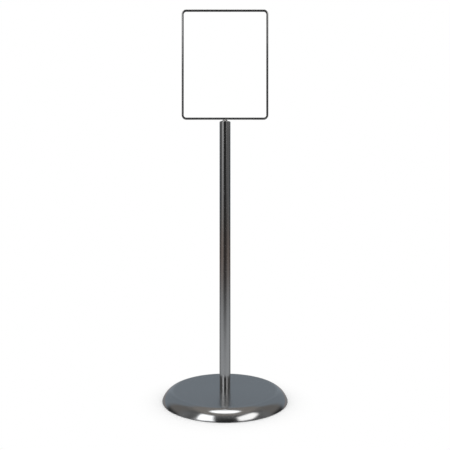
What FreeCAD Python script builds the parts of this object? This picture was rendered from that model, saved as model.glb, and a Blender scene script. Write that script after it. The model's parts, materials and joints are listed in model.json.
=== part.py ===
"""Pedestal sign stand: a weighted round base, a tubular post and a swivelling channel frame for a panel.

Millimetres, +Z up. The origin is on the floor, on the post's axis, and the frame faces -Y and +Y.
The stand is built from the floor up, and each sub-part's height follows from the sheet of dimensions.
"""

import FreeCAD, Part
import math
import os

import Sketcher

DIMENSIONS = {
    # base cover: a flat top that rolls over by a shoulder and a flank to a tight foot; turns in degrees of slope
    "base_diameter": 430,
    "base_height": 37,
    "shoulder_bend": 38,
    "shoulder_turn": 28,
    "flank_bend": 54,
    "flank_turn": 71,
    "foot_bend": 2.5,
    "lip_gap": 1,
    "cover_wall": 1.2,
    # cast weight under the cover
    "weight_gap": 2.5,
    "weight_diameter": 410,
    "weight_thickness": 12,
    "weight_bevel": 3,
    "hub_diameter": 80,
    "hub_root": 8,
    "bolt_pocket_diameter": 34,
    "bolt_pocket_depth": 12,
    # rubber floor ring, let into the weight
    "ring_diameter": 380,
    "ring_width": 10,
    "ring_groove": 2,
    "ring_bevel": 0.8,
    # base bolt and its washers
    "base_thread": 12,
    "base_clear_hole": 13,
    "base_bolt_length": 45,
    "base_head_flats": 18,
    "base_head_height": 7.5,
    "base_head_crown": 17,
    "base_washer_diameter": 28,
    "base_washer_thickness": 2.5,
    "lock_washer_diameter": 21,
    "lock_washer_bore": 12.4,
    "lock_washer_split": 2,
    # post
    "post_diameter": 38.1,
    "post_wall": 1.65,
    "post_top": 959.5,
    "plug_height": 28,
    "plug_bevel": 1.5,
    "cap_flange": 3,
    "cap_rounding": 1.8,
    "cap_spigot": 12,
    "slip_gap": 0.05,
    # neck and swivel
    "frame_bottom": 966.5,
    "stem_thread": 8,
    "stem_length": 36,
    "stem_spigot": 4.5,
    "stem_bevel": 1,
    "running_gap": 0.07,
    "bush_diameter": 11,
    "neck_washer_diameter": 21,
    "neck_washer_thickness": 0.8,
    "collar_foot_diameter": 22,
    "collar_foot_height": 0.8,
    "collar_top_diameter": 12,
    "collar_bore": 8.3,
    "friction_washer_diameter": 20,
    "friction_washer_thickness": 1.5,
    "washer_bore": 8.8,
    "spring_diameter": 16,
    "spring_wall": 0.7,
    "spring_height": 1.2,
    "stem_washer_diameter": 17,
    "stem_washer_thickness": 1.6,
    "nut_flats": 13,
    "nut_hex_height": 6.5,
    "nut_crown": 12.2,
    "nut_collar_diameter": 11.6,
    "nut_collar_height": 1.7,
    "insert_diameter": 10,
    "insert_height": 1.5,
    # sign frame: a channel bent round the panel, open inwards
    "frame_width": 300,
    "frame_height": 381.5,
    "frame_corner": 16,
    "frame_face": 7,
    "frame_depth": 6.5,
    "frame_wall": 1.5,
    "frame_round": 3.2,
    "panel_slot": 294,
}

DOC = FreeCAD.newDocument("SignStand")

# Heights above the floor and other sizes worked out from the sheet
WEIGHT_TOP = "Dims.base_height - Dims.cover_wall"
POCKET_SEAT = "Dims.weight_gap + Dims.bolt_pocket_depth"
BASE_WASHER_FOOT = f"{POCKET_SEAT} - Dims.base_washer_thickness"
LOCK_WASHER_FOOT = f"{BASE_WASHER_FOOT} - Dims.base_washer_thickness"
BASE_HEAD_FOOT = f"{LOCK_WASHER_FOOT} - Dims.base_head_height"
TUBE_TOP = "Dims.post_top - Dims.cap_flange"
CAP_FOOT = f"{TUBE_TOP} - Dims.cap_spigot"
COLLAR_FOOT = "Dims.post_top + Dims.neck_washer_thickness"
FRICTION_WASHER_FOOT = f"{CAP_FOOT} - Dims.friction_washer_thickness"
SPRING_FOOT = f"{FRICTION_WASHER_FOOT} - Dims.spring_height"
STEM_WASHER_FOOT = f"{SPRING_FOOT} - Dims.stem_washer_thickness"
NUT_HEX_FOOT = f"{STEM_WASHER_FOOT} - Dims.nut_hex_height"
NUT_FOOT = f"{NUT_HEX_FOOT} - Dims.nut_collar_height"
TUBE_BORE = "(Dims.post_diameter - 2 * Dims.post_wall)"
FITTED_IN_TUBE = f"({TUBE_BORE} - 2 * Dims.slip_gap)"
GROOVE_WIDTH = "(Dims.frame_depth - 2 * Dims.frame_wall)"

# How Sketcher numbers its own axes and the points of a line or arc
H_AXIS, V_AXIS = -1, -2
START, END, CENTRE = 1, 2, 3
TOLERANCE = 1e-4
HEX_CHAMFER = 30  # degrees, on the corners of bolt heads and nuts
UP = FreeCAD.Vector(0, 0, 1)


def make_sheet():
    """The spreadsheet of driving dimensions: a name, a number and an alias in each row."""
    sheet = DOC.addObject("Spreadsheet::Sheet", "Dims")
    sheet.Label = "Dims"
    for row, (name, value) in enumerate(DIMENSIONS.items(), start=1):
        sheet.set(f"A{row}", name)
        sheet.set(f"B{row}", str(value))
        sheet.setAlias(f"B{row}", name)
    DOC.recompute()
    return sheet


SHEET = make_sheet()


def value_of(expression):
    """The number that an expression on the sheet gives now."""
    return float(SHEET.evalExpression(expression.replace("Dims.", "")))


def new_body(label, height="0"):
    """A sub-part whose own origin stands at that height on the post's axis."""
    part = DOC.addObject("PartDesign::Body", label)
    part.Label = label
    part.setExpression("Placement.Base.z", height)
    return part


def new_sketch(part, name, role="XZ_Plane"):
    """An empty sketch on one of the sub-part's own origin planes."""
    plane = next(item for item in part.Origin.OriginFeatures if item.Role == role)
    sketch = part.newObject("Sketcher::SketchObject", name)
    sketch.AttachmentSupport = (plane, [""])
    sketch.MapMode = "FlatFace"
    return sketch


def drive(sketch, kind, elements, expression):
    """A dimension of the sketch, bound to an expression on the sheet."""
    index = sketch.addConstraint(Sketcher.Constraint(kind, *elements, value_of(expression)))
    sketch.setExpression(f"Constraints[{index}]", expression)


def place_point(sketch, geometry, point, corner):
    """Fixes a point of the sketch at a pair of expressions, or on an axis where one is 0."""
    for kind, axis, expression in zip(("DistanceX", "DistanceY"), (V_AXIS, H_AXIS), corner):
        if expression == "0":
            sketch.addConstraint(Sketcher.Constraint("PointOnObject", geometry, point, axis))
        else:
            drive(sketch, kind, (geometry, point), expression)


def add_line(sketch, start, end):
    """A straight line between two (x, y) points; returns its number."""
    return sketch.addGeometry(Part.LineSegment(FreeCAD.Vector(*start, 0), FreeCAD.Vector(*end, 0)), False)


def add_arc(sketch, centre, radius, begin, finish):
    """An arc anticlockwise from one angle to another; returns its number."""
    circle = Part.Circle(FreeCAD.Vector(*centre, 0), UP, radius)
    return sketch.addGeometry(Part.ArcOfCircle(circle, begin, finish), False)


def draw_outline(sketch, corners):
    """A closed outline of straight lines through corners, each a pair of expressions."""
    points = [(value_of(x), value_of(y)) for x, y in corners]
    count = len(points)
    first = sketch.GeometryCount
    for i in range(count):
        add_line(sketch, points[i], points[(i + 1) % count])
    for i in range(count):
        following = first + (i + 1) % count
        sketch.addConstraint(Sketcher.Constraint("Coincident", first + i, END, following, START))
    for i in range(count):
        place_point(sketch, first + i, START, corners[i])


def draw_circle(sketch, diameter):
    """A circle round the sketch's origin."""
    index = sketch.addGeometry(Part.Circle(FreeCAD.Vector(0, 0, 0), UP, value_of(diameter) / 2), False)
    sketch.addConstraint(Sketcher.Constraint("Coincident", index, CENTRE, H_AXIS, START))
    drive(sketch, "Diameter", (index,), diameter)


def draw_hexagon(sketch, flats):
    """A regular hexagon round the origin, with two sides square to the sketch's X axis."""
    half_side = f"({flats}) / (2 * sqrt(3))"
    corners = [
        (f"({flats}) / 2", f"-{half_side}"),
        (f"({flats}) / 2", half_side),
        ("0", f"2 * {half_side}"),
        (f"-({flats}) / 2", half_side),
        (f"-({flats}) / 2", f"-{half_side}"),
        ("0", f"-2 * {half_side}"),
    ]
    draw_outline(sketch, corners)


def draw_rounded_rectangle(sketch, half_width, bottom, top, radius):
    """A rectangle with four equal round corners, centred on the sketch's vertical axis."""
    w, b, t, r = (value_of(item) for item in (half_width, bottom, top, radius))
    lines = [((-w + r, b), (w - r, b)), ((w, b + r), (w, t - r)),
             ((w - r, t), (-w + r, t)), ((-w, t - r), (-w, b + r))]
    centres = [(w - r, b + r), (w - r, t - r), (-w + r, t - r), (-w + r, b + r)]
    for start, end in lines:
        add_line(sketch, start, end)
    for quarter, centre in enumerate(centres):
        begin = (quarter - 1) * math.pi / 2
        add_arc(sketch, centre, r, begin, begin + math.pi / 2)
    for side in range(4):
        arc = 4 + side
        sketch.addConstraint(Sketcher.Constraint("Tangent", side, END, arc, START))
        sketch.addConstraint(Sketcher.Constraint("Tangent", arc, END, (side + 1) % 4, START))
        sketch.addConstraint(Sketcher.Constraint("Vertical" if side % 2 else "Horizontal", side))
        if side:
            sketch.addConstraint(Sketcher.Constraint("Equal", 4, arc))
    drive(sketch, "DistanceX", (1, START), half_width)
    drive(sketch, "DistanceX", (3, START), f"-({half_width})")
    drive(sketch, "DistanceY", (2, START), top)
    if bottom == "0":
        sketch.addConstraint(Sketcher.Constraint("PointOnObject", 0, START, H_AXIS))
    else:
        drive(sketch, "DistanceY", (0, START), bottom)
    drive(sketch, "Radius", (4,), radius)


def pad(part, sketch, name, length, both_ways=False):
    """Material along the sketch's normal for that length."""
    feature = part.newObject("PartDesign::Pad", name)
    feature.Profile = sketch
    feature.Midplane = both_ways
    feature.setExpression("Length", length)
    return feature


def check_cut(part, name, before):
    """Stops if a feature that should take material away left the volume as it was."""
    DOC.recompute()
    assert part.Shape.Volume < before - TOLERANCE, f"{name} cuts nothing"


def cut(part, sketch, name, length, both_ways=False):
    """A pocket of that depth: upwards from the sub-part's foot, or both ways from its middle plane."""
    DOC.recompute()
    before = part.Shape.Volume
    feature = part.newObject("PartDesign::Pocket", name)
    feature.Profile = sketch
    feature.Midplane = both_ways
    feature.Reversed = not both_ways
    feature.setExpression("Length", length)
    check_cut(part, name, before)


def revolve(part, sketch, name):
    """A full turn of the sketch about its vertical axis."""
    feature = part.newObject("PartDesign::Revolution", name)
    feature.Profile = sketch
    feature.ReferenceAxis = (sketch, ["V_Axis"])
    feature.Angle = 360
    return feature


def groove(part, sketch, name):
    """A full turn of the sketch about its vertical axis, taken away."""
    DOC.recompute()
    before = part.Shape.Volume
    feature = part.newObject("PartDesign::Groove", name)
    feature.Profile = sketch
    feature.ReferenceAxis = (sketch, ["V_Axis"])
    feature.Angle = 360
    check_cut(part, name, before)


def round_edges(part, name, radius, chosen):
    """A fillet on those edges of the sub-part's last feature that chosen says yes to."""
    DOC.recompute()
    base = part.Tip
    names = [f"Edge{i}" for i, edge in enumerate(base.Shape.Edges, start=1) if chosen(edge)]
    feature = part.newObject("PartDesign::Fillet", name)
    feature.Base = (base, names)
    feature.setExpression("Radius", radius)


def is_circle_at(edge, radius, level):
    """True for a full circle of that radius round the axis, that far above the sub-part's lowest point."""
    curve = edge.Curve
    if not isinstance(curve, Part.Circle):
        return False
    return abs(curve.Radius - radius) < TOLERANCE and abs(curve.Center.z - level) < TOLERANCE


def chamfer_hexagon(part, flats, crown, level, rising):
    """Turns the corners off a hexagon's face at that level; rising is 1 for a lower face, -1 for an upper."""
    sketch = new_sketch(part, f"{part.Label}_chamfer_{'below' if rising > 0 else 'above'}")
    reach = f"({flats})"
    inner = f"({crown}) / 2"
    depth = f"({reach} - {inner}) * tan({HEX_CHAMFER})"
    draw_outline(sketch, [(inner, level), (reach, level), (reach, f"({level}) + {rising} * {depth}")])
    groove(part, sketch, f"{sketch.Name}_cut")


def lathe(label, height, corners):
    """A turned sub-part: the outline of its right half, in expressions, spun about the post's axis."""
    part = new_body(label, height)
    sketch = new_sketch(part, f"{label}_profile")
    draw_outline(sketch, corners)
    revolve(part, sketch, f"{label}_turned")
    return part


def ring(label, foot, height, bore, diameter):
    """A plain flat ring, such as a washer."""
    part = new_body(label, foot)
    sketch = new_sketch(part, f"{label}_rings", "XY_Plane")
    draw_circle(sketch, diameter)
    draw_circle(sketch, bore)
    pad(part, sketch, f"{label}_pad", height)
    return part


def draw_cover_profile(sketch):
    """The dome's right half: flat top, three arcs that run into one another, and a short upright lip."""
    bends = [
        ("Dims.shoulder_bend", "0", "Dims.shoulder_turn"),
        ("Dims.flank_bend", "Dims.shoulder_turn", "Dims.flank_turn"),
        ("Dims.foot_bend", "Dims.flank_turn", "90"),
    ]
    across = [f"{bend} * (sin({end}) - sin({begin}))" for bend, begin, end in bends]
    down = [f"{bend} * (cos({begin}) - cos({end}))" for bend, begin, end in bends]
    rim, foot = "Dims.base_diameter / 2", "Dims.lip_gap"
    joints = [(f"{rim} - {' - '.join(across)}", "Dims.base_height")]
    for width, drop in zip(across, down):
        x, y = joints[-1]
        joints.append((f"{x} + {width}", f"{y} - {drop}"))
    points = [(value_of(x), value_of(y)) for x, y in joints]
    rim_foot = (value_of(rim), value_of(foot))

    axis = add_line(sketch, (0, rim_foot[1]), (0, points[0][1]))
    top = add_line(sketch, (0, points[0][1]), points[0])
    arcs = []
    for (bend, begin, end), (x, y) in zip(bends, points):
        radius = value_of(bend)
        upper, lower = (math.radians(90 - value_of(turn)) for turn in (begin, end))
        centre = (x - radius * math.cos(upper), y - radius * math.sin(upper))
        arcs.append(add_arc(sketch, centre, radius, lower, upper))
    lip = add_line(sketch, points[-1], rim_foot)
    under = add_line(sketch, rim_foot, (0, rim_foot[1]))

    shoulder, flank, toe = arcs
    chain = [(axis, END, top, START), (top, END, shoulder, END), (shoulder, START, flank, END),
             (flank, START, toe, END), (toe, START, lip, START), (lip, END, under, START),
             (under, END, axis, START)]
    for joint in chain:
        sketch.addConstraint(Sketcher.Constraint("Coincident", *joint))
    for arc, joint, (bend, _, _) in zip(arcs, joints, bends):
        place_point(sketch, arc, END, joint)
        drive(sketch, "Radius", (arc,), bend)
    place_point(sketch, lip, START, joints[-1])
    place_point(sketch, lip, END, (rim, foot))
    place_point(sketch, axis, START, ("0", foot))
    place_point(sketch, axis, END, ("0", "Dims.base_height"))


def make_base_cover():
    """Spun sheet cover: the dome is turned solid, then hollowed from below to the sheet's thickness."""
    part = new_body("base_cover")
    profile = new_sketch(part, "cover_profile")
    draw_cover_profile(profile)
    dome = revolve(part, profile, "cover_dome")
    DOC.recompute()
    foot = value_of("Dims.lip_gap")
    underside = [f"Face{i}" for i, face in enumerate(dome.Shape.Faces, start=1)
                 if abs(face.BoundBox.ZMax - foot) < TOLERANCE]
    shell = part.newObject("PartDesign::Thickness", "cover_shell")
    shell.Base = (dome, underside)
    shell.Reversed = True
    shell.setExpression("Value", "Dims.cover_wall")
    hole = new_sketch(part, "cover_bolt_hole", "XY_Plane")
    draw_circle(hole, "Dims.base_clear_hole")
    cut(part, hole, "cover_bolt_cut", "Dims.base_height + 1")
    return part


def make_base_weight():
    """Cast disc with a bevelled rim and a hub, a groove for the floor ring and a pocket for the bolt."""
    hub_top = f"{WEIGHT_TOP} - Dims.weight_gap"
    part = lathe("base_weight", "Dims.weight_gap", [
        ("0", "0"),
        ("Dims.weight_diameter / 2", "0"),
        ("Dims.weight_diameter / 2", "Dims.weight_thickness - Dims.weight_bevel"),
        ("Dims.weight_diameter / 2 - Dims.weight_bevel", "Dims.weight_thickness"),
        ("Dims.hub_diameter / 2", "Dims.weight_thickness"),
        ("Dims.hub_diameter / 2", hub_top),
        ("0", hub_top),
    ])
    hub_radius, thickness = value_of("Dims.hub_diameter / 2"), value_of("Dims.weight_thickness")
    round_edges(part, "weight_hub_root", "Dims.hub_root",
                lambda edge: is_circle_at(edge, hub_radius, thickness))
    seat = new_sketch(part, "weight_ring_seat")
    inner = "(Dims.ring_diameter - Dims.ring_width) / 2"
    outer = "(Dims.ring_diameter + Dims.ring_width) / 2"
    draw_outline(seat, [(inner, "0"), (outer, "0"), (outer, "Dims.ring_groove"), (inner, "Dims.ring_groove")])
    groove(part, seat, "weight_ring_groove")
    pocket = new_sketch(part, "weight_pocket", "XY_Plane")
    draw_circle(pocket, "Dims.bolt_pocket_diameter")
    cut(part, pocket, "weight_pocket_cut", "Dims.bolt_pocket_depth")
    hole = new_sketch(part, "weight_bolt_hole", "XY_Plane")
    draw_circle(hole, "Dims.base_clear_hole")
    cut(part, hole, "weight_bolt_cut", "Dims.base_height")
    return part


def make_floor_ring():
    """Rubber ring that stands in the weight's groove and carries everything."""
    inner = "(Dims.ring_diameter - Dims.ring_width) / 2"
    outer = "(Dims.ring_diameter + Dims.ring_width) / 2"
    height = "Dims.weight_gap + Dims.ring_groove"
    return lathe("floor_ring", "0", [
        (f"{inner} + Dims.ring_bevel", "0"),
        (f"{outer} - Dims.ring_bevel", "0"),
        (outer, "Dims.ring_bevel"),
        (outer, height),
        (inner, height),
        (inner, "Dims.ring_bevel"),
    ])


def make_base_bolt():
    """Hexagon-head bolt, head down, with a plain shank at the thread's full diameter."""
    part = new_body("base_bolt", BASE_HEAD_FOOT)
    head = new_sketch(part, "bolt_hexagon", "XY_Plane")
    draw_hexagon(head, "Dims.base_head_flats")
    pad(part, head, "bolt_head", "Dims.base_head_height")
    shank = new_sketch(part, "bolt_shank_circle", "XY_Plane")
    draw_circle(shank, "Dims.base_thread")
    pad(part, shank, "bolt_shank", "Dims.base_head_height + Dims.base_bolt_length")
    chamfer_hexagon(part, "Dims.base_head_flats", "Dims.base_head_crown", "0", 1)
    return part


def make_base_lock_washer():
    """Split spring washer, pressed flat by the bolt."""
    part = ring("base_lock_washer", LOCK_WASHER_FOOT, "Dims.base_washer_thickness",
                "Dims.lock_washer_bore", "Dims.lock_washer_diameter")
    split = new_sketch(part, "lock_washer_split", "XY_Plane")
    half = "Dims.lock_washer_split / 2"
    reach = "Dims.lock_washer_diameter"
    draw_outline(split, [("0", f"-{half}"), (reach, f"-{half}"), (reach, half), ("0", half)])
    cut(part, split, "lock_washer_split_cut", "Dims.base_washer_thickness")
    return part


def make_post_plug():
    """Turned plug in the post's lower end, tapped for the base bolt."""
    outer = f"{FITTED_IN_TUBE} / 2"
    bore = "Dims.base_thread / 2 + Dims.slip_gap"
    return lathe("post_plug", "Dims.base_height", [
        (bore, "0"),
        (outer, "0"),
        (outer, "Dims.plug_height - Dims.plug_bevel"),
        (f"{outer} - Dims.plug_bevel", "Dims.plug_height"),
        (bore, "Dims.plug_height"),
    ])


def make_post_cap():
    """Turned cap: a flange as wide as the post, rounded on top, and a spigot pressed into the tube."""
    bore = "Dims.bush_diameter / 2 + Dims.slip_gap"
    part = lathe("post_cap", CAP_FOOT, [
        (bore, "0"),
        (f"{FITTED_IN_TUBE} / 2", "0"),
        (f"{FITTED_IN_TUBE} / 2", "Dims.cap_spigot"),
        ("Dims.post_diameter / 2", "Dims.cap_spigot"),
        ("Dims.post_diameter / 2", "Dims.cap_spigot + Dims.cap_flange"),
        (bore, "Dims.cap_spigot + Dims.cap_flange"),
    ])
    radius, crown = value_of("Dims.post_diameter / 2"), value_of("Dims.cap_spigot + Dims.cap_flange")
    round_edges(part, "cap_rim", "Dims.cap_rounding", lambda edge: is_circle_at(edge, radius, crown))
    return part


def make_neck_collar():
    """Tapered collar between the cap and the frame's lower bar."""
    height = f"Dims.frame_bottom - ({COLLAR_FOOT})"
    return lathe("neck_collar", COLLAR_FOOT, [
        ("Dims.collar_bore / 2", "0"),
        ("Dims.collar_foot_diameter / 2", "0"),
        ("Dims.collar_foot_diameter / 2", "Dims.collar_foot_height"),
        ("Dims.collar_top_diameter / 2", height),
        ("Dims.collar_bore / 2", height),
    ])


def make_swivel_stem():
    """Stud fixed in the frame's lower bar by its spigot; it turns in the bush."""
    radius = "Dims.stem_thread / 2"
    return lathe("swivel_stem", "Dims.frame_bottom - Dims.stem_length", [
        ("0", "0"),
        (f"{radius} - Dims.stem_bevel", "0"),
        (radius, "Dims.stem_bevel"),
        (radius, "Dims.stem_length"),
        ("Dims.stem_spigot / 2", "Dims.stem_length"),
        ("Dims.stem_spigot / 2", "Dims.stem_length + Dims.frame_wall"),
        ("0", "Dims.stem_length + Dims.frame_wall"),
    ])


def make_disc_spring():
    """Conical spring washer, its inner edge high."""
    bore = "Dims.washer_bore / 2"
    outer = "Dims.spring_diameter / 2"
    return lathe("disc_spring", SPRING_FOOT, [
        (bore, "Dims.spring_height - Dims.spring_wall"),
        (outer, "0"),
        (outer, "Dims.spring_wall"),
        (bore, "Dims.spring_height"),
    ])


def make_stem_nut():
    """Self-locking hexagon nut, its round collar downwards with a seat for the nylon ring."""
    part = new_body("stem_nut", NUT_FOOT)
    collar = new_sketch(part, "nut_collar_circle", "XY_Plane")
    draw_circle(collar, "Dims.nut_collar_diameter")
    pad(part, collar, "nut_collar", "Dims.nut_collar_height")
    hexagon = new_sketch(part, "nut_hexagon", "XY_Plane")
    hexagon.setExpression("AttachmentOffset.Base.z", "Dims.nut_collar_height")
    draw_hexagon(hexagon, "Dims.nut_flats")
    pad(part, hexagon, "nut_hex", "Dims.nut_hex_height")
    foot, top = "Dims.nut_collar_height", "Dims.nut_collar_height + Dims.nut_hex_height"
    chamfer_hexagon(part, "Dims.nut_flats", "Dims.nut_crown", foot, 1)
    chamfer_hexagon(part, "Dims.nut_flats", "Dims.nut_crown", top, -1)
    bore = new_sketch(part, "nut_bore_circle", "XY_Plane")
    draw_circle(bore, "Dims.stem_thread + 2 * Dims.slip_gap")
    cut(part, bore, "nut_bore", "Dims.nut_collar_height + Dims.nut_hex_height")
    seat = new_sketch(part, "nut_insert_circle", "XY_Plane")
    draw_circle(seat, "Dims.insert_diameter")
    cut(part, seat, "nut_insert_seat", "Dims.insert_height")
    return part


def is_at_depth(edge, depth):
    """True for an edge whose middle lies that far inside the frame's outer outline, seen from the front."""
    middle = edge.valueAt((edge.FirstParameter + edge.LastParameter) / 2)
    corner, half_height = value_of("Dims.frame_corner"), value_of("Dims.frame_height / 2")
    across = abs(middle.x) - value_of("Dims.frame_width / 2") + corner
    along = abs(middle.z - half_height) - half_height + corner
    beyond = math.hypot(across, along) if min(across, along) > 0 else max(across, along)
    return abs(corner - beyond - depth) < TOLERANCE


def make_sign_channel():
    """Channel bent round the panel: a round-backed plate, its window, the groove in it and the panel slot."""
    part = new_body("sign_channel", "Dims.frame_bottom")
    outline = new_sketch(part, "channel_outline")
    draw_rounded_rectangle(outline, "Dims.frame_width / 2", "0", "Dims.frame_height", "Dims.frame_corner")
    pad(part, outline, "channel_plate", "Dims.frame_depth", both_ways=True)
    round_edges(part, "channel_back", "Dims.frame_round", lambda edge: edge.BoundBox.YLength < TOLERANCE)
    window = new_sketch(part, "channel_window")
    draw_rounded_rectangle(window, "Dims.frame_width / 2 - Dims.frame_face", "Dims.frame_face",
                           "Dims.frame_height - Dims.frame_face", "Dims.frame_corner - Dims.frame_face")
    cut(part, window, "channel_window_cut", "2 * Dims.frame_depth", both_ways=True)
    inside = new_sketch(part, "channel_groove")
    draw_rounded_rectangle(inside, "Dims.frame_width / 2 - Dims.frame_wall", "Dims.frame_wall",
                           "Dims.frame_height - Dims.frame_wall", "Dims.frame_corner - Dims.frame_wall")
    cut(part, inside, "channel_groove_cut", GROOVE_WIDTH, both_ways=True)
    wall = value_of("Dims.frame_wall")
    round_edges(part, "channel_root", "Dims.frame_round - Dims.frame_wall",
                lambda edge: edge.BoundBox.YLength < TOLERANCE and is_at_depth(edge, wall))
    slot = new_sketch(part, "panel_slot")
    side = "Dims.panel_slot / 2"
    low, high = "Dims.frame_height - Dims.frame_corner", "Dims.frame_height + 1"
    draw_outline(slot, [(f"-{side}", low), (side, low), (side, high), (f"-{side}", high)])
    cut(part, slot, "panel_slot_cut", GROOVE_WIDTH, both_ways=True)
    hole = new_sketch(part, "channel_stem_hole", "XY_Plane")
    draw_circle(hole, "Dims.stem_spigot + 2 * Dims.slip_gap")
    cut(part, hole, "channel_stem_cut", "Dims.frame_wall")
    return part


def make_parts():
    """Every sub-part, from the floor up."""
    return [
        make_floor_ring(),
        make_base_weight(),
        make_base_cover(),
        ring("base_washer", BASE_WASHER_FOOT, "Dims.base_washer_thickness", "Dims.base_clear_hole",
             "Dims.base_washer_diameter"),
        make_base_lock_washer(),
        make_base_bolt(),
        make_post_plug(),
        ring("post_tube", "Dims.base_height", f"{TUBE_TOP} - Dims.base_height", TUBE_BORE,
             "Dims.post_diameter"),
        make_post_cap(),
        ring("neck_washer", "Dims.post_top", "Dims.neck_washer_thickness", "Dims.washer_bore",
             "Dims.neck_washer_diameter"),
        make_neck_collar(),
        ring("swivel_bush", CAP_FOOT, "Dims.cap_spigot + Dims.cap_flange",
             "Dims.stem_thread + 2 * Dims.running_gap", "Dims.bush_diameter"),
        make_swivel_stem(),
        ring("friction_washer", FRICTION_WASHER_FOOT, "Dims.friction_washer_thickness", "Dims.washer_bore",
             "Dims.friction_washer_diameter"),
        make_disc_spring(),
        ring("stem_washer", STEM_WASHER_FOOT, "Dims.stem_washer_thickness", "Dims.washer_bore",
             "Dims.stem_washer_diameter"),
        make_stem_nut(),
        ring("nut_insert", NUT_FOOT, "Dims.insert_height", "Dims.stem_thread + 2 * Dims.slip_gap",
             "Dims.insert_diameter"),
        make_sign_channel(),
    ]


def check_document():
    """Stops if any object of the document failed to compute."""
    failed = [item.Name for item in DOC.Objects if {"Invalid", "Error"} & set(item.State)]
    assert not failed, f"failed objects: {failed}"


def write_parts(parts):
    """One STEP file for each sub-part, named by its label."""
    os.makedirs("parts", exist_ok=True)
    for part in parts:
        shape = part.Shape
        assert not shape.isNull() and shape.isValid(), f"{part.Label} has no valid shape"
        shape.exportStep(f"parts/{part.Label}.step")
        box = shape.optimalBoundingBox()
        print(f"{part.Label:18} {shape.Volume / 1000:10.2f} cm3  z {box.ZMin:8.2f} to {box.ZMax:8.2f}"
              f"  x {box.XLength:7.2f}  y {box.YLength:7.2f}")


PARTS = make_parts()
DOC.recompute()
check_document()
write_parts(PARTS)
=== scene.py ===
"""Looks of a pedestal sign stand: satin stainless base and post, and a swivelling channel frame.

Metres, +Z up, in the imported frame. Turned pieces are an outline of (radius, height) taken round the Z axis,
and the sign channel is a section of (depth, across) taken round its outer edge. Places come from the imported
nodes' boxes, and wall thicknesses and bends are those of the design.
"""

import json
import math

import bpy
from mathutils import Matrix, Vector


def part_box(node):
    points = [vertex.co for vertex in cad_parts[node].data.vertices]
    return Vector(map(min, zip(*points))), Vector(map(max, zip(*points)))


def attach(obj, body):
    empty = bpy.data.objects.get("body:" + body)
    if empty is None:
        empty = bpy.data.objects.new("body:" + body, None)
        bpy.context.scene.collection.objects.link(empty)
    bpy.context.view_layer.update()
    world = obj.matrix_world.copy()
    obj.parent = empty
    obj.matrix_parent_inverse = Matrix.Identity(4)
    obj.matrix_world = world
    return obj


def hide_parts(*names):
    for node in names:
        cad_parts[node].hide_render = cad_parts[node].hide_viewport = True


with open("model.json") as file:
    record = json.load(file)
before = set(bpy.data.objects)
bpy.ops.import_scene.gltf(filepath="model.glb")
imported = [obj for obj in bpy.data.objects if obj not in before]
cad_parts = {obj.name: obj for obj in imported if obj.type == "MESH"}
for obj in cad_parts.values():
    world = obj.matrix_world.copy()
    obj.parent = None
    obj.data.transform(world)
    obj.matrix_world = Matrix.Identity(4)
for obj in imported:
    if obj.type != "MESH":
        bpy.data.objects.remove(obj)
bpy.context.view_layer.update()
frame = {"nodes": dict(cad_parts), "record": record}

# ---------------------------------------------------------------- design sizes, in metres and degrees
COVER_WALL = 0.0012
COVER_BENDS = ((0.038, 0, 28), (0.054, 28, 71), (0.0025, 71, 90))  # radius, slope at its start and end
BASE_HOLE_RADIUS = 0.0065
TUBE_WALL = 0.00165
SLIP_GAP = 0.00005
CAP_ROUNDING = 0.0018
CAP_FLANGE = 0.003
COLLAR_BORE = 0.00415
COLLAR_FOOT = 0.0008
COLLAR_TOP = 0.006
FRAME_HEIGHT = 0.3815
FRAME_CORNER = 0.016
FRAME_FACE = 0.007
FRAME_WALL = 0.0015
FRAME_ROUND = 0.0032
SLOT_HALF = 0.147
EDGE = 0.0002  # how far a machined edge is broken
SHEET_EDGE = 0.0005
LIP_EDGE = 0.0004

# ---------------------------------------------------------------- fineness of the meshes
TURNS = 256  # facets round a large turned piece
SMALL_TURNS = 96
ARC_STEP = math.radians(6)
CORNER_STEPS = 9  # facets round a corner of the sign channel
MERGE_DIGITS = 7  # decimals of a metre that tell two places apart
ANGLE_TOLERANCE = 1e-6

# ---------------------------------------------------------------- finish of the steel
FINE_LINES = (2600.0, 3.0, 0.65)  # scale, detail and roughness of a noise
BROAD_LINES = (420.0, 2.0, 0.5)
GLOSS_PATCHES = (9.0, 3.0, 0.55)
HANDLING_MARKS = (34.0, 4.0, 0.6)
MARK_LIMITS = (0.56, 0.74)
FINE_SHARE = 0.6  # of the fine lines against the broad ones
LINE_STRETCH = 0.02  # how slowly the lines change along themselves
TONE_CHANGE = 0.06
GLOSS_CHANGE = 0.02
LINE_RELIEF = (0.03, 0.00003)  # strength and depth of a bump
ACROSS_THE_LINES = 0.25  # of a turn from the tangent
RUST = (0.16, 0.10, 0.07, 1.0)


# ---------------------------------------------------------------- outlines: lists of (place, outward normal)
def arc(centre, radius, begin, end, side=1):
    """Points from one angle to another; side is -1 where the material is outside the arc."""
    steps = max(2, math.ceil(abs(end - begin) / ARC_STEP))
    points = []
    for k in range(steps + 1):
        angle = begin + (end - begin) * k / steps
        ray = Vector((math.cos(angle), math.sin(angle)))
        points.append((Vector(centre) + ray * radius, ray * side))
    return points


def corner_arc(before, corner, after, rounding):
    """One rounded corner of an anticlockwise outline."""
    into = (Vector(corner) - Vector(before)).normalized()
    out = (Vector(after) - Vector(corner)).normalized()
    turn = math.atan2(into.x * out.y - into.y * out.x, into.dot(out))
    side = 1 if turn > 0 else -1
    normal = Vector((into.y, -into.x))
    centre = Vector(corner) - into * rounding * math.tan(abs(turn) / 2) - normal * rounding * side
    begin = math.atan2(normal.y * side, normal.x * side)
    return arc(centre, rounding, begin, begin + turn, side)


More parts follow.
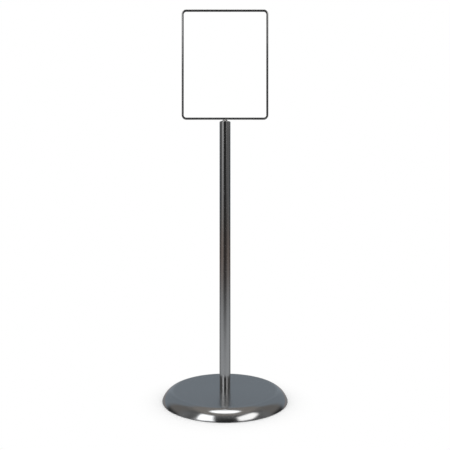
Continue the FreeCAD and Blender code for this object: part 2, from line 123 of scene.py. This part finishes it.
def outline(corners):
    """The closed outline through (x, y, rounding) corners, its first point repeated at the end."""
    count = len(corners)
    points = []
    for i, (x, y, rounding) in enumerate(corners):
        points += corner_arc(corners[i - 1][:2], (x, y), corners[(i + 1) % count][:2], rounding)
    return points + points[:1]


def mirrored(points):
    """The same points on the other side of the first axis, in the opposite order."""
    return [(Vector((p.x, -p.y)), Vector((n.x, -n.y))) for p, n in reversed(points)]


# ---------------------------------------------------------------- meshes: a face is a list of corners
# A corner is a place, an outward normal and a place on the grain map.
def skin(sections):
    """Faces between each section and the next."""
    faces = []
    for here, there in zip(sections, sections[1:]):
        for k in range(len(here) - 1):
            faces.append([here[k], there[k], there[k + 1], here[k + 1]])
    return faces


def add_piece(name, faces, body, node, material):
    """A mesh with its own corner normals, riding on a body in place of a CAD node."""
    index, polygons, normals, grain = {}, [], [], []
    for face in faces:
        polygon = []
        for place, normal, along in face:
            key = tuple(round(c, MERGE_DIGITS) for c in place)
            polygon.append(index.setdefault(key, len(index)))
            normals.append(normal)
            grain.append(along)
        polygons.append(polygon)
    mesh = bpy.data.meshes.new(name)
    mesh.from_pydata(list(index), [], polygons)
    mesh.shade_smooth()
    layer = mesh.uv_layers.new(name="grain")
    for corner, along in zip(layer.data, grain):
        corner.uv = along
    mesh.normals_split_custom_set(normals)
    mesh.materials.append(material)
    piece = bpy.data.objects.new(name, mesh)
    bpy.context.scene.collection.objects.link(piece)
    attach(piece, body)
    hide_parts(node)


def lathe(name, points, body, node, material, turns=TURNS):
    """A turned piece: its half outline taken round the Z axis."""
    sections = []
    for t in range(turns + 1):
        angle = 2 * math.pi * (t % turns) / turns
        c, s = math.cos(angle), math.sin(angle)
        sections.append([
            ((p.x * c, p.x * s, p.y), (n.x * c, n.x * s, n.y), (t / turns, p.y)) for p, n in points
        ])
    add_piece(name, skin(sections), body, node, material)


# ---------------------------------------------------------------- shader helpers
class Nodes:
    """Short calls for building a node tree."""

    def __init__(self, tree):
        self.tree = tree

    def add(self, kind, **settings):
        node = self.tree.nodes.new(kind)
        for key, value in settings.items():
            setattr(node, key, value)
        return node

    def join(self, value, socket):
        """Puts a number, a colour or another socket's output into a socket."""
        if isinstance(value, bpy.types.NodeSocket):
            self.tree.links.new(value, socket)
        else:
            socket.default_value = value

    def math(self, operation, a, b=0.0):
        node = self.add("ShaderNodeMath", operation=operation)
        self.join(a, node.inputs[0])
        self.join(b, node.inputs[1])
        return node.outputs[0]

    def step(self, value, low, high):
        """A smooth step from 0 at low to 1 at high."""
        node = self.add("ShaderNodeMapRange", interpolation_type="SMOOTHSTEP")
        self.join(value, node.inputs["Value"])
        self.join(low, node.inputs["From Min"])
        self.join(high, node.inputs["From Max"])
        return node.outputs["Result"]

    def ramp(self, value, low, high):
        """Value from 0 to 1 taken to a number from low to high."""
        node = self.add("ShaderNodeMapRange")
        self.join(value, node.inputs["Value"])
        node.inputs["To Min"].default_value = low
        node.inputs["To Max"].default_value = high
        return node.outputs["Result"]

    def band(self, value, low, high, soft):
        """1 between low and high, falling to 0 over soft on either side."""
        return self.math("MULTIPLY", self.step(value, low - soft, low + soft),
                         self.step(value, high + soft, high - soft))

    def vector(self, x, y, z):
        node = self.add("ShaderNodeCombineXYZ")
        for value, socket in zip((x, y, z), node.inputs):
            self.join(value, socket)
        return node.outputs[0]

    def split(self, vector):
        node = self.add("ShaderNodeSeparateXYZ")
        self.join(vector, node.inputs[0])
        return node.outputs

    def noise(self, vector, scale, detail, rough):
        node = self.add("ShaderNodeTexNoise")
        self.join(vector, node.inputs["Vector"])
        node.inputs["Scale"].default_value = scale
        node.inputs["Detail"].default_value = detail
        node.inputs["Roughness"].default_value = rough
        return node.outputs["Fac"]

    def mix(self, factor, a, b, blend="MIX"):
        node = self.add("ShaderNodeMix", data_type="RGBA", blend_type=blend)
        self.join(factor, node.inputs[0])
        self.join(a, node.inputs[6])
        self.join(b, node.inputs[7])
        return node.outputs[2]

    def bump(self, height, strength, distance):
        node = self.add("ShaderNodeBump")
        node.inputs["Strength"].default_value = strength
        node.inputs["Distance"].default_value = distance
        self.join(height, node.inputs["Height"])
        return node.outputs["Normal"]


def new_material(name):
    """An empty material: its node helper and its Principled shader."""
    material = bpy.data.materials.new(name)
    material.use_nodes = True
    shader = material.node_tree.nodes["Principled BSDF"]
    return material, Nodes(material.node_tree), shader


def shade(colour, factor):
    return tuple(min(1.0, c * factor) for c in colour) + (1.0,)


def turned_lines(nodes):
    """Coordinates for fine lines that run round the Z axis: slow round the piece, fast along its profile."""
    place = nodes.add("ShaderNodeTexCoord").outputs["Object"]
    x, y, z = nodes.split(place)
    radius = nodes.math("SQRT", nodes.math("ADD", nodes.math("MULTIPLY", x, x), nodes.math("MULTIPLY", y, y)))
    along = nodes.math("SUBTRACT", radius, z)
    lines = nodes.vector(nodes.math("MULTIPLY", x, LINE_STRETCH),
                         nodes.math("MULTIPLY", y, LINE_STRETCH), along)
    return place, lines, radius


def brushed_lines(nodes):
    """Coordinates for fine lines that run along a bar, from its grain map."""
    grain = nodes.add("ShaderNodeUVMap", uv_map="grain").outputs[0]
    u, v, _ = nodes.split(grain)
    lines = nodes.vector(nodes.math("MULTIPLY", u, LINE_STRETCH), v, 0.0)
    return nodes.add("ShaderNodeTexCoord").outputs["Object"], lines, None


def satin_steel(name, colour, roughness, anisotropy, lines_from, tangent_settings, rim_gloss_and_sheen=None):
    """Stainless steel with a fine one-way finish, small changes of gloss and faint handling marks.

    The rim argument is two radii, a change of roughness and a lighter colour, for a rim glossier than the top
    it surrounds; the lighter colour is painted sheen.
    """
    material, nodes, shader = new_material(name)
    place, lines, radius = lines_from(nodes)
    fine = nodes.noise(lines, *FINE_LINES)
    broad = nodes.noise(lines, *BROAD_LINES)
    patches = nodes.noise(place, *GLOSS_PATCHES)
    marks = nodes.step(nodes.noise(place, *HANDLING_MARKS), *MARK_LIMITS)
    scratch = nodes.math("ADD", nodes.math("MULTIPLY", fine, FINE_SHARE),
                         nodes.math("MULTIPLY", broad, 1 - FINE_SHARE))
    tone = nodes.mix(scratch, shade(colour, 1 - TONE_CHANGE), shade(colour, 1 + TONE_CHANGE))
    gloss = nodes.math("ADD", nodes.ramp(scratch, roughness - GLOSS_CHANGE, roughness + GLOSS_CHANGE),
                       nodes.ramp(patches, -GLOSS_CHANGE, GLOSS_CHANGE))
    gloss = nodes.math("ADD", gloss, nodes.math("MULTIPLY", marks, GLOSS_CHANGE))
    # A glossier rim band: its lower roughness is real, and its lighter base colour is painted sheen.
    if rim_gloss_and_sheen:
        inner, outer, change, painted_sheen_colour = rim_gloss_and_sheen
        rim = nodes.step(radius, inner, outer)
        gloss = nodes.math("ADD", gloss, nodes.math("MULTIPLY", rim, change))
        tone = nodes.mix(rim, tone, shade(painted_sheen_colour, 1.0))
    nodes.join(tone, shader.inputs["Base Color"])
    nodes.join(gloss, shader.inputs["Roughness"])
    nodes.join(nodes.bump(scratch, *LINE_RELIEF), shader.inputs["Normal"])
    shader.inputs["Metallic"].default_value = 1.0
    shader.inputs["Anisotropic"].default_value = anisotropy
    shader.inputs["Anisotropic Rotation"].default_value = ACROSS_THE_LINES
    tangent = nodes.add("ShaderNodeTangent", **tangent_settings)
    nodes.join(tangent.outputs[0], shader.inputs["Tangent"])
    return material


def turned_steel(name, colour, roughness, anisotropy, rim_gloss_and_sheen=None):
    return satin_steel(name, colour, roughness, anisotropy, turned_lines,
                       {"direction_type": "RADIAL", "axis": "Z"}, rim_gloss_and_sheen)


def brushed_steel(name, colour, roughness, anisotropy):
    return satin_steel(name, colour, roughness, anisotropy, brushed_lines,
                       {"direction_type": "UV_MAP", "uv_map": "grain"})


def mottled(name, dark, light, roughness, grain_scale, relief, metallic=0.0, speck=0.0):
    """A surface with no direction: colour and gloss vary together, over a fine bumpy grain.

    roughness is its two limits, and speck is how strongly rust shows where the paint has worn.
    """
    material, nodes, shader = new_material(name)
    place = nodes.add("ShaderNodeTexCoord").outputs["Object"]
    broad = nodes.noise(place, 40.0, 4.0, 0.6)
    fine = nodes.noise(place, grain_scale, 5.0, 0.65)
    both = nodes.math("ADD", nodes.math("MULTIPLY", broad, 0.5), nodes.math("MULTIPLY", fine, 0.5))
    colour = nodes.mix(nodes.step(both, 0.35, 0.65), (*dark, 1.0), (*light, 1.0))
    if speck:
        worn = nodes.step(nodes.noise(place, grain_scale * 0.5, 6.0, 0.7), 0.66, 0.74)
        colour = nodes.mix(nodes.math("MULTIPLY", worn, speck), colour, RUST)
    nodes.join(colour, shader.inputs["Base Color"])
    nodes.join(nodes.ramp(both, *roughness), shader.inputs["Roughness"])
    nodes.join(nodes.bump(fine, 0.5, relief), shader.inputs["Normal"])
    shader.inputs["Metallic"].default_value = metallic
    return material


# Radii of a glossier rim band, its change of roughness, and a lighter colour that paints sheen on it.
GLOSSY_RIM_AND_PAINTED_SHEEN = (0.170, 0.192, -0.105, (0.60, 0.61, 0.62))
COVER_STEEL = turned_steel("satin_cover", (0.42, 0.427, 0.434), 0.24, 0.3, GLOSSY_RIM_AND_PAINTED_SHEEN)
POST_STEEL = turned_steel("satin_post", (0.60, 0.60, 0.60), 0.11, 0.7)
CAP_STEEL = turned_steel("turned_cap", (0.56, 0.56, 0.56), 0.18, 0.5)
FRAME_STEEL = brushed_steel("polished_channel", (0.60, 0.60, 0.60), 0.12, 0.5)
PLAIN_FINISH = {
    "fastener_steel": mottled("zinc_plate", (0.50, 0.50, 0.49), (0.66, 0.66, 0.63), roughness=(0.28, 0.46),
                              grain_scale=900.0, relief=0.00002, metallic=1.0),
    "weight_iron": mottled("painted_iron", (0.055, 0.055, 0.06), (0.10, 0.10, 0.105), roughness=(0.5, 0.72),
                           grain_scale=420.0, relief=0.0003, speck=0.6),
    "floor_rubber": mottled("black_rubber", (0.018, 0.018, 0.018), (0.04, 0.04, 0.04), roughness=(0.62, 0.85),
                            grain_scale=700.0, relief=0.0001),
    "bearing_nylon": mottled("natural_nylon", (0.76, 0.74, 0.68), (0.86, 0.85, 0.80), roughness=(0.36, 0.52),
                             grain_scale=600.0, relief=0.00003),
}


# ---------------------------------------------------------------- base cover
def cover_roll(rim, crown, inset, side):
    """The rolled edge from the flat top down to the lip, that far inside the outer surface."""
    width = sum(radius * (math.sin(math.radians(end)) - math.sin(math.radians(begin)))
                for radius, begin, end in COVER_BENDS)
    joint = Vector((rim - width, crown))
    points = []
    for radius, begin, end in COVER_BENDS:
        upper, lower = math.radians(90 - begin), math.radians(90 - end)
        centre = joint - radius * Vector((math.cos(upper), math.sin(upper)))
        bend = arc(centre, radius - inset, upper, lower, side)
        points += bend[1:] if points else bend
        joint = centre + radius * Vector((math.cos(lower), math.sin(lower)))
    return points


def make_base_cover():
    low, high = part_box("base_cover")
    rim, foot, crown, wall, hole = high.x, low.z, high.z, COVER_WALL, BASE_HOLE_RADIUS
    outer = cover_roll(rim, crown, 0.0, 1)
    inner = cover_roll(rim, crown, wall, -1)
    top, under = (hole + 1, crown), (hole + 1, crown - wall)
    points = corner_arc((rim - wall, crown), (rim - wall, foot), (rim, foot), SHEET_EDGE)
    points += corner_arc((rim - wall, foot), (rim, foot), (rim, crown), SHEET_EDGE)
    points += outer[::-1]
    points += corner_arc(top, (hole, crown), (hole, crown - wall), EDGE)
    points += corner_arc((hole, crown), (hole, crown - wall), under, EDGE)
    points += inner
    lathe("base_cover_satin", points + points[:1], "stand", "base_cover", COVER_STEEL)


# ---------------------------------------------------------------- post
def make_post_tube():
    low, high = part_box("post_tube")
    bore = high.x - TUBE_WALL
    corners = [(bore, low.z, EDGE), (high.x, low.z, EDGE), (high.x, high.z, EDGE), (bore, high.z, EDGE)]
    lathe("post_tube_satin", outline(corners), "stand", "post_tube", POST_STEEL)


def make_post_cap():
    low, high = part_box("post_cap")
    spigot = high.x - TUBE_WALL - SLIP_GAP
    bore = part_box("swivel_bush")[1].x + SLIP_GAP
    step = high.z - CAP_FLANGE
    corners = [
        (bore, low.z, EDGE),
        (spigot, low.z, EDGE),
        (spigot, step, EDGE / 2),
        (high.x, step, EDGE),
        (high.x, high.z, CAP_ROUNDING),
        (bore, high.z, EDGE),
    ]
    lathe("post_cap_turned", outline(corners), "stand", "post_cap", CAP_STEEL)


def make_neck_collar():
    low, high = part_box("neck_collar")
    corners = [
        (COLLAR_BORE, low.z, EDGE),
        (high.x, low.z, EDGE),
        (high.x, low.z + COLLAR_FOOT, EDGE),
        (COLLAR_TOP, high.z, EDGE),
        (COLLAR_BORE, high.z, EDGE),
    ]
    lathe("neck_collar_turned", outline(corners), "sign_head", "neck_collar", CAP_STEEL,
          SMALL_TURNS)


# ---------------------------------------------------------------- sign channel
def channel_stations(half, foot, slot_angle):
    """Places round the frame's outer edge, anticlockwise seen from the front, from its lower right corner.

    Each is an (x, z) place, the outward direction, the distance walked and the angle turned.
    """
    reach = FRAME_CORNER
    right, left = half - reach, reach - half
    low, high = foot + reach, foot + FRAME_HEIGHT - reach
    stations, walked = [], 0.0
    for quarter, centre in enumerate(((right, low), (right, high), (left, high), (left, low))):
        angles = [(quarter - 1 + k / CORNER_STEPS) * math.pi / 2 for k in range(CORNER_STEPS + 1)]
        if centre[1] == high:
            angles = sorted(angles + [slot_angle if quarter == 1 else math.pi - slot_angle])
        for angle in angles:
            out = Vector((math.cos(angle), math.sin(angle)))
            place = Vector(centre) + out * reach
            if stations:
                walked += (place - stations[-1][0]).length
            stations.append((place, out, walked, angle))
    closing = (stations[0][0] - stations[-1][0]).length
    place, out, _, angle = stations[0]
    stations.append((place, out, walked + closing, angle + 2 * math.pi))
    return stations


def make_sign_channel():
    """The channel's section taken round the frame; where the slot is, the two cheeks without the web."""
    low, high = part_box("sign_channel")
    depth = high.y
    groove = depth - FRAME_WALL
    cheek_centre = (FRAME_ROUND, FRAME_ROUND - depth)
    opening = math.asin((groove + cheek_centre[1]) / FRAME_ROUND)
    mid_web = FRAME_CORNER - FRAME_WALL / 2
    slot_angle = math.acos((SLOT_HALF - high.x + FRAME_CORNER) / mid_web)

    quarter = math.pi / 2
    crown_cut = 2 * quarter + opening
    cheek = arc(cheek_centre, FRAME_ROUND, crown_cut, 3 * quarter)
    cheek += corner_arc((0, -depth), (FRAME_FACE, -depth), (FRAME_FACE, -groove), LIP_EDGE)
    cheek += corner_arc((FRAME_FACE, -depth), (FRAME_FACE, -groove), (0, -groove), LIP_EDGE)
    cheek.append((Vector((FRAME_ROUND, -groove)), Vector((0, 1))))
    root = arc(cheek_centre, FRAME_ROUND - FRAME_WALL, -quarter, -2 * quarter, -1)
    root += mirrored(root)
    crown = arc(cheek_centre, FRAME_ROUND, 2 * quarter, crown_cut)
    crown = mirrored(crown) + crown
    inward = Vector((0, 1))
    slot_wall = [(cheek[-1][0], inward), (cheek[0][0], inward)]
    whole = [cheek, root, mirrored(cheek), crown]
    slotted = [cheek, slot_wall, mirrored(cheek), mirrored(slot_wall)]

    def placed(section, station):
        (x, z), out, walked, _ = station
        corners = []
        for p, n in section:
            place = (x - out.x * p.x, p.y, z - out.y * p.x)
            corners.append((place, (-out.x * n.x, n.y, -out.y * n.x), (walked, p.x - p.y)))
        return corners

    faces = []
    stations = channel_stations(high.x, low.z, slot_angle)
    for here, there in zip(stations, stations[1:]):
        middle = (here[3] + there[3]) / 2
        in_slot = slot_angle < middle < math.pi - slot_angle
        for section in slotted if in_slot else whole:
            faces += skin([placed(section, here), placed(section, there)])
    web = crown + root
    for station in stations:
        _, out, walked, angle = station
        if min(abs(angle - slot_angle), abs(angle - math.pi + slot_angle)) > ANGLE_TOLERANCE:
            continue
        ahead = -1 if angle > quarter else 1
        facing = (-out.y * ahead, 0.0, out.x * ahead)
        end = [(place, facing, grain) for place, _, grain in placed(web, station)]
        faces.append(end[::-1] if ahead > 0 else end)
    add_piece("sign_channel_polished", faces, "sign_head", "sign_channel", FRAME_STEEL)


DETAILED = {
    "base_cover": make_base_cover,
    "post_tube": make_post_tube,
    "post_cap": make_post_cap,
    "neck_collar": make_neck_collar,
    "sign_channel": make_sign_channel,
}
for make in DETAILED.values():
    make()
for subpart in frame["record"]["subparts"]:
    if subpart["node"] not in DETAILED:
        node = frame["nodes"][subpart["node"]]
        node.data.materials.clear()
        node.data.materials.append(PLAIN_FINISH[subpart["material_slot"]])


# ---------------------------------------------------------------- studio
WHITE = (1.0, 1.0, 1.0, 1.0)
DARK = 0.03  # grey of the room where nothing is lit
DUSK_COLOUR = (1.3, 1.0, 0.85, 1.0)
OVERHEAD_HALF_WIDTH, OVERHEAD_HALF_DEPTH = 0.255, 0.175  # in parts of a unit direction
OVERHEAD_FORWARD = 0.10
OVERHEAD_LIGHT = 2.0
FLOOR_RADIUS = 12.0
FLOOR_FACETS = 128
FLOOR_FADE = (0.20, 0.32)  # distances from the post between which the floor turns to plain white
FLOOR_COLOUR = (0.99, 0.99, 0.99, 1.0)
SENSOR_WIDTH = 36.0
FOCAL_TO_WIDTH = 512.4 / 450  # focal length against the picture's width
CAMERA_PLACE = (0.0, -1.773, 0.6023)


def grey(value, warmth=0.0):
    return (value * (1 + warmth), value, value * (1 - warmth), 1.0)


# Panels of light: a colour, then soft edges (a, b, limit, soft) that keep a * azimuth + b * elevation under
# the limit. Azimuth is 0 towards the camera and grows towards +X, and elevation grows upwards, in degrees.
PANELS = (
    (grey(0.72), (-1, 0, 54, 8), (1, 0, -35, 8), (0, -1, -4, 14), (0, 1, 22, 14)),  # low, left
    (grey(0.20), (-1, 0, -28, 10), (1, 0, 44, 10), (0, -1, -6, 8), (0, 1, 20, 8)),  # low, right
    (grey(1.75), (-1, -0.21, 46, 3), (1, 0.21, -15, 4), (0, -1, -19, 3), (0, 1, 53, 4)),  # softbox, left
    (grey(1.45, 0.02), (-1, 0, -24.5, 3), (1, -1.15, 27, 5), (1, 0, 71, 5), (0, -1, -20, 3), (0, 1, 52, 4),
     (-0.35, 1, 34.6, 4)),  # softbox, right
)


def make_world():
    """White to the camera, even light for soft surfaces, and a studio of soft panels in the reflections."""
    world = bpy.data.worlds.new("studio")
    bpy.context.scene.world = world
    world.use_nodes = True
    world.cycles.sampling_method = "NONE"
    tree = world.node_tree
    tree.nodes.clear()
    nodes = Nodes(tree)
    x, y, z = nodes.split(nodes.add("ShaderNodeTexCoord").outputs["Generated"])
    forward = nodes.math("MULTIPLY", y, -1.0)
    degrees = 180 / math.pi
    azimuth = nodes.math("MULTIPLY", nodes.math("ARCTAN2", x, forward), degrees)
    elevation = nodes.math("MULTIPLY", nodes.math("ARCSINE", z), degrees)

    turned = nodes.math("ABSOLUTE", azimuth)
    sides = nodes.mix(nodes.step(elevation, 3.0, 20.0), grey(DARK), grey(0.165, 0.06))
    room = grey(DARK)
    for measure, begin, end, tone in (
        (turned, 14.0, 62.0, grey(0.13)),  # beside the camera
        (turned, 66.0, 78.0, grey(0.18)),
        (elevation, 26.0, 52.0, grey(0.13)),  # higher on the front
        (turned, 82.0, 98.0, sides),
        (turned, 114.0, 132.0, grey(0.25, -0.11)),  # behind the stand
        (turned, 152.0, 166.0, grey(0.322, -0.11)),
        (elevation, 50.0, 64.0, grey(0.235, 0.08)),  # ceiling
    ):
        room = nodes.mix(nodes.step(measure, begin, end), room, tone)
    for colour, *edges in PANELS:
        mask = 1.0
        for a, b, limit, soft in edges:
            reach = nodes.math("ADD", nodes.math("MULTIPLY", azimuth, a),
                               nodes.math("MULTIPLY", elevation, b))
            mask = nodes.math("MULTIPLY", nodes.step(reach, limit + soft, limit - soft), mask)
        room = nodes.mix(mask, room, colour, "ADD")
    across = nodes.math("DIVIDE", x, OVERHEAD_HALF_WIDTH)
    along = nodes.math("DIVIDE", nodes.math("SUBTRACT", forward, OVERHEAD_FORWARD), OVERHEAD_HALF_DEPTH)
    reach = nodes.math("ADD", nodes.math("MULTIPLY", across, across), nodes.math("MULTIPLY", along, along))
    overhead = nodes.math("MULTIPLY", nodes.step(reach, 1.5, 0.8), nodes.step(z, 0.5, 0.8))
    room = nodes.mix(overhead, room, grey(OVERHEAD_LIGHT))
    dusk = nodes.mix(nodes.band(elevation, -7.0, -1.0, 3.0), room, DUSK_COLOUR, "MULTIPLY")
    ground = nodes.mix(nodes.step(turned, 84.0, 112.0), grey(0.39, -0.03), grey(0.25, -0.02))
    centre_lift = nodes.ramp(nodes.step(turned, 12.0, 48.0), 2.0, -1.0)
    fade = nodes.step(nodes.math("ADD", elevation, centre_lift), -4.0, -14.0)
    room = nodes.mix(fade, dusk, ground)
    room = nodes.mix(nodes.step(elevation, -28.0, -40.0), room, grey(DARK))

    rays = nodes.add("ShaderNodeLightPath")
    seen = nodes.mix(rays.outputs["Is Glossy Ray"], WHITE, room)
    background = nodes.add("ShaderNodeBackground")
    nodes.join(seen, background.inputs["Color"])
    output = nodes.add("ShaderNodeOutputWorld")
    nodes.join(background.outputs[0], output.inputs["Surface"])


def make_floor():
    """A pale floor that fades to white away from the stand, and isn't seen in the reflections."""
    bpy.ops.mesh.primitive_circle_add(vertices=FLOOR_FACETS, radius=FLOOR_RADIUS, fill_type="NGON")
    floor = bpy.context.object
    floor.name = "studio_floor"
    material, nodes, shader = new_material("pale_floor")
    tree = material.node_tree
    tree.nodes.remove(shader)
    length = nodes.add("ShaderNodeVectorMath", operation="LENGTH")
    nodes.join(nodes.add("ShaderNodeTexCoord").outputs["Object"], length.inputs[0])
    diffuse = nodes.add("ShaderNodeBsdfDiffuse")
    diffuse.inputs["Color"].default_value = FLOOR_COLOUR
    glow = nodes.add("ShaderNodeEmission")
    mix = nodes.add("ShaderNodeMixShader")
    nodes.join(nodes.step(length.outputs["Value"], *FLOOR_FADE), mix.inputs[0])
    nodes.join(diffuse.outputs[0], mix.inputs[1])
    nodes.join(glow.outputs[0], mix.inputs[2])
    output = next(n for n in tree.nodes if n.type == "OUTPUT_MATERIAL")
    nodes.join(mix.outputs[0], output.inputs["Surface"])
    floor.data.materials.append(material)
    floor.visible_glossy = False
    floor.visible_diffuse = False


def make_camera():
    """Level camera in front of the stand, at the height that shows the base's top."""
    data = bpy.data.cameras.new("camera")
    data.sensor_width = SENSOR_WIDTH
    data.lens = SENSOR_WIDTH * FOCAL_TO_WIDTH
    camera = bpy.data.objects.new("camera", data)
    bpy.context.scene.collection.objects.link(camera)
    camera.location = CAMERA_PLACE
    camera.rotation_euler = (math.pi / 2, 0, 0)
    bpy.context.scene.camera = camera


make_world()
make_floor()
make_camera()
bpy.context.scene.view_settings.view_transform = "Standard"
